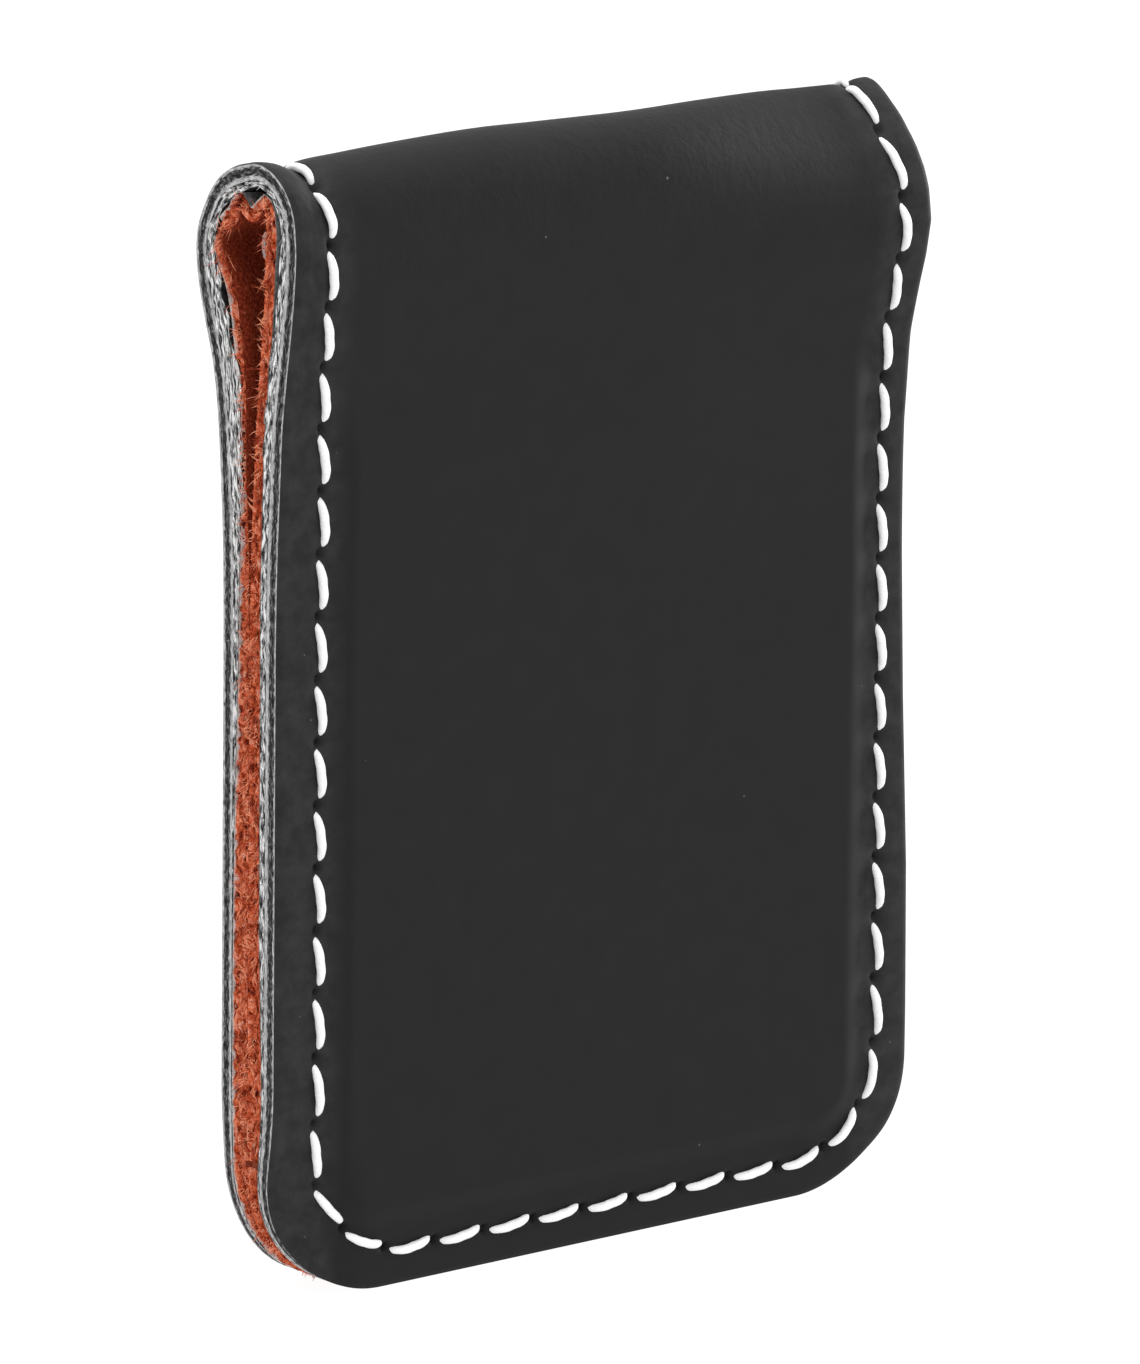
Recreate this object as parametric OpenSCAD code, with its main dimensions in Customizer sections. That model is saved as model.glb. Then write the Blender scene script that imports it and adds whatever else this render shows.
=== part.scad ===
// Magnetic money clip: one strip of leather, folded over and sewn to a suede lining,
// with a stiffener board and two bar magnets between the layers of each flap.
// +X is the right of the front flap, -Y is the front, +Z is up to the fold.
// The origin is the centre of the footprint, on the bottom edge.
// A fold is a living hinge: the strip is cut into four bodies, two flaps and two
// halves of the fold, that meet at three bending lines.

/* [Clip] */
// Width across the flaps
clip_w = 44.4; // [42:0.2:50]
// Height from the bottom edge to the top of the fold
clip_h = 62.6; // [60:0.2:75]
// Radius of the bottom corners
corner_r = 7.5; // [6:0.5:10]

/* [Layers] */
// Thickness of the outer cover
cover_t = 0.95; // [0.9:0.05:1]
// Thickness of the backing bonded inside the cover
backing_t = 0.3; // [0.25:0.05:0.35]
// Thickness of the suede lining
lining_t = 1.0; // [0.95:0.05:1.05]
// Gap between the two linings when the clip is shut
flap_gap = 0.3; // [0.3:0.05:0.5]

/* [Seam] */
// Seam to left edge
seam_left = 2.95; // [2:0.05:3]
// Seam to right edge
seam_right = 1.9; // [1.6:0.05:3]
// Seam to bottom edge
seam_bottom = 2.0; // [1.6:0.1:3]
// Radius of the seam at the bottom corners
seam_r = 6.4; // [5:0.2:8]
// Number of stitches round the whole seam
stitch_count = 92; // [80:1:100]
// Width of a thread
thread_d = 0.55; // [0.4:0.05:0.6]

/* [Stiffener and magnets] */
// Width of a stiffener board
board_w = 35.2; // [32:0.2:36]
// Height of a stiffener board
board_h = 39; // [36:0.5:40]
// Thickness of a stiffener board
board_t = 0.8; // [0.6:0.05:0.85]
// Height of the board's lower edge
board_z = 5.2; // [5:0.1:6]
// Length of a bar magnet
magnet_l = 28; // [20:1:30]
// Height of a bar magnet
magnet_h = 9; // [6:0.5:10]

/* [Hidden] */
$fn = 48;

face = cover_t + backing_t + lining_t + flap_gap / 2; // outer face of a flap from the middle plane
bend_z = clip_h - 12.6;   // height of the two lower bending lines
crown_y = -0.6;           // highest line of the fold, where the third bending line runs
bend_gap = 0.04;          // slit between bodies at a bending line
samples = 4;              // chords between two points of a profile
straight_drop = 30;       // the flaps are straight from here down
big = 200;

// Outer profile of the folded strip, as [y, distance below the top of the fold].
profile = [
    [-face, 30], [-face, 26],
    [-face - 0.1, 21], [-face - 0.3, 17], [-face - 0.5, 13.6], [-face - 0.8, 11.2],
    [-face - 1.2, 8.6], [-face - 1.5, 6.2], [-face - 1.6, 4], [-3.7, 2.2], [-2.9, 1], [-1.8, 0.25],
    [crown_y, 0],
    [0.7, 0.25], [1.9, 0.9], [3.1, 2.1], [4.1, 3.6], [4.8, 5.1], [4.9, 6.6],
    [4.6, 8.2], [4.1, 9.8], [3.5, 11.6], [face + 0.7, 13.6], [face + 0.35, 16.6], [face + 0.1, 20.4],
    [face, 26], [face, 30],
];

// Middle of the lining inside the fold: two pleats under the top and an elbow at the rear.
pleats = [
    [-1.45, 11.4], [-1.7, 9.4], [-1.95, 7.4], [-2.1, 5.4], [-2.05, 3.75], [-1.75, 2.65], [-1.15, 2.2],
    [-0.5, 2.45], [0.1, 2.8], [0.65, 2.6], [1.2, 2.45], [1.72, 2.72], [2.1, 3.5], [2.5, 4.4],
    [2.85, 5.3], [2.75, 6.3], [2.1, 7.5], [1.5, 8.9], [1.15, 10.4], [1, 12.4],
];

// --- profiles ------------------------------------------------------------------

function knot(a, b) = sqrt(norm(b - a));
function between(a, b, ta, tb, t) = (a * (tb - t) + b * (t - ta)) / (tb - ta);

// One point of a centripetal spline between p[1] and p[2].
function spline_point(p, u) =
    let (
        t1 = knot(p[0], p[1]),
        t2 = t1 + knot(p[1], p[2]),
        t3 = t2 + knot(p[2], p[3]),
        t = t1 + (t2 - t1) * u,
        a1 = between(p[0], p[1], 0, t1, t),
        a2 = between(p[1], p[2], t1, t2, t),
        a3 = between(p[2], p[3], t2, t3, t),
        b1 = between(a1, a2, 0, t2, t),
        b2 = between(a2, a3, t1, t3, t)
    ) between(b1, b2, t1, t2, t);

function spline(p) = [
    for (i = [1:len(p) - 3]) for (k = [0:samples - 1])
        spline_point([p[i - 1], p[i], p[i + 1], p[i + 2]], k / samples),
    p[len(p) - 2],
];

function upright(p) = [for (q = p) [q[0], clip_h - q[1]]];
function running(path, i = 0, s = 0) =
    i == len(path) - 1 ? [s] : concat([s], running(path, i + 1, s + norm(path[i + 1] - path[i])));
function slope(path, i) =
    let (d = path[min(i + 1, len(path) - 1)] - path[max(i - 1, 0)]) d / norm(d);

// A path as tables of y, z and the two parts of its direction against the length run.
function tables(path) =
    let (s = running(path)) [
        [for (i = [0:len(path) - 1]) [s[i], path[i][0]]],
        [for (i = [0:len(path) - 1]) [s[i], path[i][1]]],
        [for (i = [0:len(path) - 1]) [s[i], slope(path, i)[0]]],
        [for (i = [0:len(path) - 1]) [s[i], slope(path, i)[1]]],
    ];
function total(tab) = tab[0][len(tab[0]) - 1][0];
function heading(tab, s) = let (d = [lookup(s, tab[2]), lookup(s, tab[3])]) d / norm(d);

// The point at length s, moved by depth towards the inside of the fold.
function point(tab, s, depth = 0) =
    let (d = heading(tab, s)) [lookup(s, tab[0]) + depth * d[1], lookup(s, tab[1]) - depth * d[0]];
function stops(tab, s0, s1) =
    concat([s0], [for (row = tab[0]) if (row[0] > s0 + 0.02 && row[0] < s1 - 0.02) row[0]], [s1]);
function strip(tab, s0, s1, d0, d1) =
    let (at = stops(tab, s0, s1)) concat(
        [for (s = at) point(tab, s, d0)],
        [for (i = [len(at) - 1:-1:0]) point(tab, at[i], d1)]
    );

// A whole profile: the curved part between two straight flaps, each y from the middle plane.
function whole(y, curve) = concat(
    [[-y, 0], [-y, clip_h - straight_drop]],
    spline(upright(curve)),
    [[y, clip_h - straight_drop], [y, 0]]
);
outer = tables(whole(face, profile));
outer_len = total(outer);

// The lining follows the cover in the flaps and its own pleats in the fold.
lining_depth = cover_t + backing_t + lining_t / 2;
lining_fold_t = 0.6;
attached_front = [for (drop = [30, 26, 21, 17, 14]) drop];
attached_rear = [for (drop = [16.6, 21, 26, 30]) drop];
function flap_point(side, drop) =
    let (
        bulge = lookup(-drop, side < 0
            ? [[-30, 0], [-26, 0], [-21, 0.1], [-17, 0.3], [-14, 0.47]]
            : [[-30, 0], [-26, 0], [-21, 0.08], [-16.6, 0.32]])
    ) [side * (face + bulge - lining_depth), drop];
lining_profile = concat(
    [for (drop = attached_front) flap_point(-1, drop)],
    pleats,
    [for (drop = attached_rear) flap_point(1, drop)]
);
lining_y = face - lining_depth;
inner = tables(whole(lining_y, lining_profile));
inner_len = total(inner);
function lining_half(s) =
    lookup(min(s, inner_len - s), [[clip_h - 18, lining_t / 2], [clip_h - 11, lining_fold_t / 2]]);
function lining_outline() =
    let (at = stops(inner, 0, inner_len)) concat(
        [for (s = at) point(inner, s, -lining_half(s))],
        [for (i = [len(at) - 1:-1:0]) point(inner, at[i], lining_half(at[i]))]
    );

// The face of the lining that is turned to the inside of the fold.
lining_face = tables([for (row = inner[0]) point(inner, row[0], lining_half(row[0]))]);
face_len = total(lining_face);

// Length along the lining's face that lies under length s of the cover. The two run
// level in the flaps, and the shorter lining is spread evenly over the fold.
function under(s) =
    s < bend_z ? s
    : s > outer_len - bend_z ? face_len - (outer_len - s)
    : bend_z + (s - bend_z) * (face_len - 2 * bend_z) / (outer_len - 2 * bend_z);

// Moves the model so that the middle of its footprint is at the origin.
proud = 0.28;             // height of a needle stitch above the cover
sunk = 0.2;               // depth of a needle stitch in the cover
outer_y = [for (row = outer[0]) row[1]];
shift_y = -(min(outer_y) + max(outer_y)) / 2;

// --- seam ----------------------------------------------------------------------

left_x = -clip_w / 2 + seam_left;
right_x = clip_w / 2 - seam_right;
hem_z = seam_bottom + seam_r;      // height where a column of stitches turns into the hem
quarter = PI * seam_r / 2;
hem_straight = right_x - left_x - 2 * seam_r;
hem_len = 2 * quarter + hem_straight;
column_len = outer_len - 2 * hem_z;
seam_len = 2 * (hem_len + column_len);
pitch = seam_len / stitch_count;
seam_phase = 1.5;                  // length from the first hole to the end of the left column
hole_r = 0.3;
leg_r = 0.2;
groove_w = thread_d + 0.15;
stitch_end = 0.42;                 // bare length between a hole and the end of a stitch
dip = 0.16;                        // how much deeper a thread lies where it enters a hole
dip_w = 0.34;
ease = 0.03;                       // clearance under a thread
bobbin_proud = 0.08;
bobbin_sunk = 0.2;
needle_gap = 0.5;                  // room for the proud stitches to turn at a bending line

// [x, z, heading in degrees] along the hem, from the left column to the right one.
function hem(u) =
    u < quarter
        ? let (a = 180 + u / seam_r * 180 / PI)
            [left_x + seam_r + seam_r * cos(a), hem_z + seam_r * sin(a), a + 90]
    : u < quarter + hem_straight
        ? [left_x + seam_r + u - quarter, seam_bottom, 360]
    : let (a = 270 + (u - quarter - hem_straight) / seam_r * 180 / PI)
        [right_x - seam_r + seam_r * cos(a), hem_z + seam_r * sin(a), a + 90];
function beside(h, w) = [h[0] - w * sin(h[2]), h[1] + w * cos(h[2])];
function hem_strip(u0, u1, w) =
    let (n = max(2, ceil((u1 - u0) / 0.9)), at = [for (k = [0:n]) u0 + (u1 - u0) * k / n]) concat(
        [for (u = at) beside(hem(u), w / 2)],
        [for (i = [n:-1:0]) beside(hem(at[i]), -w / 2)]
    );

// The seam runs along the front hem, up and over the right column, along the rear hem
// and back over the left column. Holes are counted along it.
function hole(k) = seam_phase + k * pitch;
function holes_in(from, length) =
    [for (k = [-1:stitch_count]) if (hole(k) >= from && hole(k) < from + length) hole(k) - from];
function stitches_in(from, length) = [
    for (k = [-1:stitch_count])
        let (a = max(hole(k) + stitch_end - from, 0), b = min(hole(k + 1) - stitch_end - from, length))
            if (b - a > 0.15) [a, b],
];
right_from = hem_len;
rear_from = hem_len + column_len;
left_from = 2 * hem_len + column_len;
function mirrored(list, length) = [for (v = list) length - v];
function flipped(list, length) = [for (v = list) [length - v[1], length - v[0]]];

function place(tab, s) = tab == outer ? s : under(s);

// Per column, the lengths along the cover of its holes and stitches.
column_x = [left_x, right_x];
column_holes = [
    [for (u = mirrored(holes_in(left_from, column_len), column_len)) hem_z + u],
    [for (u = holes_in(right_from, column_len)) hem_z + u],
];
column_stitches = [
    [for (v = flipped(stitches_in(left_from, column_len), column_len)) [hem_z + v[0], hem_z + v[1]]],
    [for (v = stitches_in(right_from, column_len)) [hem_z + v[0], hem_z + v[1]]],
];
hem_holes = [holes_in(0, hem_len), mirrored(holes_in(rear_from, hem_len), hem_len)];
hem_stitches = [stitches_in(0, hem_len), flipped(stitches_in(rear_from, hem_len), hem_len)];

// --- helpers -------------------------------------------------------------------

// A shape drawn in the Y-Z plane, extruded along X.
module across(w, x = 0) {
    translate([x - w / 2, 0, 0]) rotate([90, 0, 90]) linear_extrude(w) children();
}

// A shape drawn in the X-Z plane, extruded along Y from y0 to y1.
module deep(y0, y1) {
    translate([0, max(y0, y1), 0]) rotate([90, 0, 0]) linear_extrude(abs(y1 - y0)) children();
}

// The local frame at length s of a path, with +Z pointing out of the fold.
module on_path(tab, s) {
    p = point(tab, s);
    d = heading(tab, s);
    translate([0, p[0], p[1]]) rotate([atan2(d[1], d[0]), 0, 0]) children();
}

module rounded(w, h, r) {
    translate([-w / 2 + r, 0]) square([w - 2 * r, h]);
    translate([-w / 2, r]) square([w, h - 2 * r]);
    for (x = [-1, 1], z = [r, h - r]) translate([x * (w / 2 - r), z]) circle(r);
}

// The strip's outline seen from the front, with round bottom corners.
module strip_outline() {
    translate([-clip_w / 2, corner_r]) square([clip_w, clip_h + 2 - corner_r]);
    translate([-clip_w / 2 + corner_r, 0]) square([clip_w - 2 * corner_r, corner_r + 1]);
    for (x = [-1, 1]) translate([x * (clip_w / 2 - corner_r), corner_r]) circle(corner_r);
}

// The space of one body: a flap or half of the fold. gap is left at each bending line.
module zone(body, gap) {
    flap = body == "front_flap" || body == "rear_flap";
    front = body == "front_flap" || body == "front_fold";
    middle = flap ? 0 : crown_y;
    y0 = front ? -big : middle + gap / 2;
    y1 = front ? middle - gap / 2 : big;
    z0 = flap ? -big : bend_z + gap / 2;
    z1 = flap ? bend_z - gap / 2 : big;
    translate([-big / 2, y0, z0]) cube([big, y1 - y0, z1 - z0]);
}

// Cuts a full-length layer down to one body, in the model's place.
module in_body(body, gap = bend_gap) {
    translate([0, shift_y, 0]) intersection() {
        children();
        zone(body, gap);
    }
}

module layer(outline) {
    intersection() {
        across(clip_w) polygon(outline);
        deep(-20, 20) strip_outline();
    }
}

// Places a child drawn for the front flap on the front or the rear flap.
module on_side(side) {
    if (side < 0) children();
    else mirror([0, 1, 0]) children();
}

function is_flap(body) = body == "front_flap" || body == "rear_flap";
function side_of(body) = body == "front_flap" || body == "front_fold" ? -1 : 1;
function hem_of(body) = side_of(body) < 0 ? 0 : 1;
// True where length s of the cover is within reach of a body.
function near(body, s) =
    let (
        h = min(s, outer_len - s),
        own_side = side_of(body) < 0 ? s < outer_len * 0.54 : s > outer_len * 0.46
    ) own_side && (is_flap(body) ? h < bend_z + 3 : h > bend_z - 3);

// Holes of one body through a layer, from over the outer side of a path's line down to depth.
module column_holes_in(body, tab, over, depth) {
    for (c = [0, 1], s = column_holes[c]) if (near(body, s))
        translate([column_x[c], 0, 0]) on_path(tab, place(tab, s))
            translate([0, 0, -depth]) cylinder(r = hole_r, h = depth + over);
}

module hem_holes_in(body, y0, y1) {
    if (is_flap(body)) on_side(side_of(body)) for (u = hem_holes[hem_of(body)])
        translate([hem(u)[0], y1, hem(u)[1]]) rotate([90, 0, 0]) cylinder(r = hole_r, h = y1 - y0);
}

// --- flap stiffening -----------------------------------------------------------

board_x = (seam_left - seam_right) / 2 + 0.15;
board_r = 2.5;
board_inner = face - cover_t - backing_t - board_t + 0.6;  // board's lining side from the middle plane
board_outer = board_inner + board_t;
pocket = 0.03;            // clearance round the board
emboss = 0.8;             // how far the raised panel reaches beyond the board
panel_face = board_outer + backing_t + 0.9;
panel_top = 4.2;          // how far the raised panel runs on above the board

module board_shape(grow = 0, top = 0) {
    translate([board_x, board_z - grow]) rounded(board_w + 2 * grow, board_h + 2 * grow + top, board_r + grow);
}

magnet_t = board_t - 0.04;
magnet_z = [board_z + 5, board_z + board_h - magnet_h - 5];

module stiffener_board(side) {
    color("tan") translate([0, shift_y, 0]) on_side(side) difference() {
        deep(-board_outer, -board_inner) board_shape();
        for (z = magnet_z) deep(-board_outer - 1, -board_inner + 1)
            translate([board_x, z]) rounded(magnet_l, magnet_h, 1);
    }
}

module magnet(side, level) {
    color("silver") translate([0, shift_y, 0]) on_side(side)
        deep(-board_inner - magnet_t - 0.02, -board_inner - 0.02)
            translate([board_x, magnet_z[level] + 0.06]) rounded(magnet_l - 0.12, magnet_h - 0.12, 0.94);
}

// --- layers --------------------------------------------------------------------

module cover(body) {
    depth = sunk + dip + ease;
    color([0.19, 0.19, 0.19]) in_body(body) difference() {
        union() {
            layer(strip(outer, 0, outer_len, 0, cover_t));
            if (is_flap(body)) on_side(side_of(body))
                deep(-panel_face, -board_outer - backing_t) board_shape(emboss, panel_top - emboss);
        }
        if (is_flap(body)) on_side(side_of(body))
            deep(-board_outer - backing_t, 0) board_shape(backing_t);
        for (x = column_x) across(groove_w, x) polygon(strip(outer, hem_z, outer_len - hem_z, -1, depth));
        if (is_flap(body)) on_side(side_of(body))
            deep(-face - 1, -face + depth) polygon(hem_strip(0, hem_len, groove_w));
        column_holes_in(body, outer, 1, cover_t + 0.1);
        hem_holes_in(body, -face - 1, -face + cover_t + 0.1);
    }
}

module backing(body) {
    color([0.72, 0.71, 0.69]) in_body(body) difference() {
        union() {
            layer(strip(outer, 0, outer_len, cover_t, cover_t + backing_t));
            if (is_flap(body)) on_side(side_of(body))
                deep(-board_outer - backing_t, -face + cover_t) board_shape(backing_t);
        }
        if (is_flap(body)) on_side(side_of(body)) deep(-board_outer - pocket, 0) board_shape(pocket);
        column_holes_in(body, outer, 1, cover_t + backing_t + 0.1);
        hem_holes_in(body, -face, -face + cover_t + backing_t + 0.1);
    }
}

module lining(body) {
    depth = bobbin_sunk + dip + ease;
    color([0.82, 0.33, 0.2]) in_body(body) difference() {
        layer(lining_outline());
        across(clip_w + 1) polygon(strip(outer, 0, outer_len, -1, cover_t + backing_t));
        if (is_flap(body)) on_side(side_of(body))
            deep(-big, -board_inner + pocket) board_shape(pocket);
        if (is_flap(body)) on_side(side_of(body))
            deep(-flap_gap / 2 - depth, 1) polygon(hem_strip(0, hem_len, groove_w));
        for (x = column_x) across(groove_w, x)
            polygon(strip(lining_face, hem_z, face_len - hem_z, -depth, 0.15));
        column_holes_in(body, lining_face, (is_flap(body) ? lining_t : lining_fold_t) + 0.1, 0.2);
        hem_holes_in(body, -2, 0);
    }
}

// --- threads -------------------------------------------------------------------

// A stitch line up both columns. Depths are measured along a path's normal: the
// thread's face is at top, its underside at floor, and its legs reach to foot.
module column_thread(body, tab, top, floor, foot) {
    way = sign(foot - floor);
    for (c = [0, 1], v = column_stitches[c]) if (near(body, v[0])) across(thread_d, column_x[c])
        polygon(strip(tab, place(tab, v[0]), place(tab, v[1]), top, floor));
    for (c = [0, 1], s = column_holes[c]) if (near(body, s)) {
        at = place(tab, s);
        across(dip_w, column_x[c])
            polygon(strip(tab, at - stitch_end - 0.1, at + stitch_end + 0.1, floor + way * dip, floor - way * 0.05));
        translate([column_x[c], 0, 0]) on_path(tab, at)
            translate([0, 0, -max(foot, floor)]) cylinder(r = leg_r, h = abs(foot - floor));
    }
}

// The same round a hem, with depths given as Y on the front flap.
module hem_thread(body, top, floor, foot) {
    way = sign(foot - floor);
    if (is_flap(body)) on_side(side_of(body)) {
        for (v = hem_stitches[hem_of(body)]) deep(top, floor) polygon(hem_strip(v[0], v[1], thread_d));
        for (u = hem_holes[hem_of(body)]) {
            deep(floor + way * dip, floor - way * 0.05)
                polygon(hem_strip(u - stitch_end - 0.1, u + stitch_end + 0.1, dip_w));
            translate([hem(u)[0], max(foot, floor), hem(u)[1]])
                rotate([90, 0, 0]) cylinder(r = leg_r, h = abs(foot - floor));
        }
    }
}

module needle_thread(body) {
    foot = cover_t + backing_t - ease;
    color("white") in_body(body, needle_gap) {
        column_thread(body, outer, -proud, sunk, foot);
        hem_thread(body, -face - proud, -face + sunk, -face + foot);
    }
}

module bobbin_thread(body) {
    foot = (is_flap(body) ? lining_t : lining_fold_t) - 0.1;
    color("ghostwhite") in_body(body) {
        column_thread(body, lining_face, bobbin_proud, -bobbin_sunk, -foot);
        hem_thread(body, -flap_gap / 2 + bobbin_proud, -flap_gap / 2 - bobbin_sunk, -flap_gap / 2 - foot);
    }
}

cover("front_flap");  // front_flap_cover
cover("front_fold");  // front_fold_cover
cover("rear_fold");  // rear_fold_cover
cover("rear_flap");  // rear_flap_cover
backing("front_flap");  // front_flap_backing
backing("front_fold");  // front_fold_backing
backing("rear_fold");  // rear_fold_backing
backing("rear_flap");  // rear_flap_backing
lining("front_flap");  // front_flap_lining
lining("front_fold");  // front_fold_lining
lining("rear_fold");  // rear_fold_lining
lining("rear_flap");  // rear_flap_lining
needle_thread("front_flap");  // front_flap_needle_thread
needle_thread("front_fold");  // front_fold_needle_thread
needle_thread("rear_fold");  // rear_fold_needle_thread
needle_thread("rear_flap");  // rear_flap_needle_thread
bobbin_thread("front_flap");  // front_flap_bobbin_thread
bobbin_thread("front_fold");  // front_fold_bobbin_thread
bobbin_thread("rear_fold");  // rear_fold_bobbin_thread
bobbin_thread("rear_flap");  // rear_flap_bobbin_thread
stiffener_board(-1);  // front_stiffener_board
stiffener_board(1);  // rear_stiffener_board
magnet(-1, 1);  // front_upper_magnet
magnet(-1, 0);  // front_lower_magnet
magnet(1, 1);  // rear_upper_magnet
magnet(1, 0);  // rear_lower_magnet
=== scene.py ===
import math

import bpy
import numpy as np
from mathutils import Matrix


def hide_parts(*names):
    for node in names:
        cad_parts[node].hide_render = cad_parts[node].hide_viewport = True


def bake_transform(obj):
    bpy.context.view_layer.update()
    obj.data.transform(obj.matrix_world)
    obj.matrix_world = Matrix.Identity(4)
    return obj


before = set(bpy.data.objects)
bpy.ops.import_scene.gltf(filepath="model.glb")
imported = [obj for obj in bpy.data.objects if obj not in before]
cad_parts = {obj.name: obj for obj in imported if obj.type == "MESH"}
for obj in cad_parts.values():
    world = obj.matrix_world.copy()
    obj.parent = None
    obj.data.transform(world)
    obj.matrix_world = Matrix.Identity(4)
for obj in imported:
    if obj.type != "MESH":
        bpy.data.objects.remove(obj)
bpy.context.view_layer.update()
rng = np.random.default_rng(11)

# The visible pieces of a folded leather money clip: cover, backing, suede lining and seam.
# Each layer is swept along its own path round the fold, then moved to the clip's uneven,
# hand-sewn shape. Lengths are in mm, and new_mesh turns them into metres. A place on a layer
# is x across the clip and s along the strip, from the front flap's bottom edge over the fold.

# ---------------------------------------------------------------- dimensions
CLIP_W = 44.4
CLIP_H = 62.6
CORNER_R = 7.5
COVER_T = 0.95
BACKING_T = 0.3
LINING_T = 1.0
# the lining's thickness where it is loose inside the fold
LINING_FOLD_T = 0.6
FLAP_GAP = 0.3
# a flap's outer face, from the middle plane between the flaps
FACE = COVER_T + BACKING_T + LINING_T + FLAP_GAP / 2
# that plane's y
SHIFT_Y = -0.4519
# the flaps are straight from this far below the crown
STRAIGHT_DROP = 30
# how far up from its bottom edge a flap meets the fold
BEND_Z = 50
# how far the nap lifts the lining's face on the flaps
NAP_LIFT = 0.13

# the seam, run round the strip from hole to hole
SEAM_LEFT_X = -19.25
SEAM_RIGHT_X = 20.3
SEAM_EDGE = 2.0
SEAM_R = 6.4
STITCHES = 92
SEAM_PHASE = 1.5
# the last two and first two holes, round the front left corner, wander on by this much
HOLE_WANDER = (0.1, 0.4, 0.5, 0.28)

# the cover's outer face: y, and drop below the crown, from the front flap to the rear
PROFILE = [
    (-FACE, 30), (-FACE, 26),
    (-FACE - 0.1, 21), (-FACE - 0.3, 17), (-FACE - 0.5, 13.6), (-FACE - 0.8, 11.2),
    (-FACE - 1.2, 8.6), (-FACE - 1.5, 6.2), (-FACE - 1.6, 4),
    (-3.7, 2.2), (-2.9, 1), (-1.8, 0.25), (-0.6, 0),
    (0.7, 0.25), (1.9, 0.9), (3.1, 2.1), (4.1, 3.6), (4.8, 5.1), (4.9, 6.6),
    (4.6, 8.2), (4.1, 9.8), (3.5, 11.6),
    (FACE + 0.7, 13.6), (FACE + 0.35, 16.6), (FACE + 0.1, 20.4),
    (FACE, 26), (FACE, 30),
]
# the lining's middle, where it puckers inside the fold
PLEATS = [
    (-1.3, 11.4), (-1.5, 9.4), (-1.7, 7.4), (-1.8, 5.4), (-1.9, 3.9), (-1.8, 2.7), (-1.3, 1.85),
    (-0.6, 2.35), (0.1, 2.8), (0.6, 2.4), (1.0, 2.0), (1.4, 2.5), (1.65, 3.3), (2.3, 4.1),
    (2.95, 4.8), (3.05, 5.6), (2.7, 6.4), (2.0, 7.3), (1.45, 8.7), (1.15, 10.4), (1, 12.4),
]
LINING_DEPTH = COVER_T + BACKING_T + LINING_T / 2
LINING_Y = FACE - LINING_DEPTH
# how far each flap stands off the middle: by drop, for the front (-1) and the rear (1)
FLARE = {
    -1: ([14, 17, 21, 26, 30], [0.47, 0.3, 0.1, 0, 0]),
    1: ([16.6, 21, 26, 30], [0.32, 0.08, 0, 0]),
}

# height of the crown along the clip, above the plain profile
CROWN_LIFT = [
    (-24, 0.6), (-22.2, 0.55), (-21, 0.36), (-20, 0.0), (-19.25, -0.15), (-18.3, 0.22),
    (-16, 0.36), (-13, 0.47), (-7, 0.56), (-3, 0.43), (3, 0.34), (9, 0.36), (14, 0.25),
    (17, 0.08), (20.3, -0.02), (21.2, 0.08), (22.2, 0.1), (24, 0),
]
# how far the front shoulder leans back at the right end, by height
LEAN_Z = [36, 44, 49, 52, 53.5, 55.5, 57.2, 58.25, 59.3, 60.25, 61.5, 62.6]
LEAN = [0, 0.28, 0.35, 0.1, -0.1, -0.2, 0.2, 0.65, 1.25, 1.9, 2.5, 2.75]
# how far the right-hand edge stands out, by height
EDGE_Z = [10, 18, 28, 36, 44, 52]
EDGE_OUT = [0.46, 0.34, -0.1, -0.34, -0.28, 0]
# rise of the rear bulge at the left
HIGH_BACK = 0.85
# how far the top sinks at the right-hand side
SETTLE = 0.5
# shift of the front seam's left column to the left, near the fold
SEAM_DRIFT = 0.6
# drop of the bottom right corner
CORNER_DROP = 0.5
# share by which the bottom left corner is thinner
PINCH = 0.3
# how much thicker the crumpled backing is at the cut edge, by drop from the crown
CRUMPLE_FRONT = (
    [0, 3, 6, 10, 15, 20, 28, 42, 50],
    [0.1, 0.15, 0.3, 0.4, 0.4, 0.28, 0.2, 0.18, -0.08],
)
CRUMPLE_REAR = (
    [0, 4, 8, 12, 16, 19, 22, 28, 36, 44],
    [0.1, 0.25, 0.8, 1.15, 0.9, 0.55, 0.28, 0.15, -0.12, -0.22],
)

# the raised panel over each stiffener board: left, right, end, corner radius, rise
PANEL_LEFT = -18
PANEL_RIGHT = 18.65
PANEL_END = 3.9
PANEL_R = 3
PANEL_RISE = 0.42
# half width of the clean middle of the cover, and how fast dust sets in past it, in cm
CLEAN_HALF = 1.79
DUST_RATE = 9.0
# half width of the creased band over the crown, in cm
CREASED_HALF = 1.3


def smooth(low, high, value):
    """0 before low, 1 after high, and an even curve between them."""
    t = np.clip((value - low) / (high - low), 0, 1)
    return t * t * (3 - 2 * t)


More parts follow.
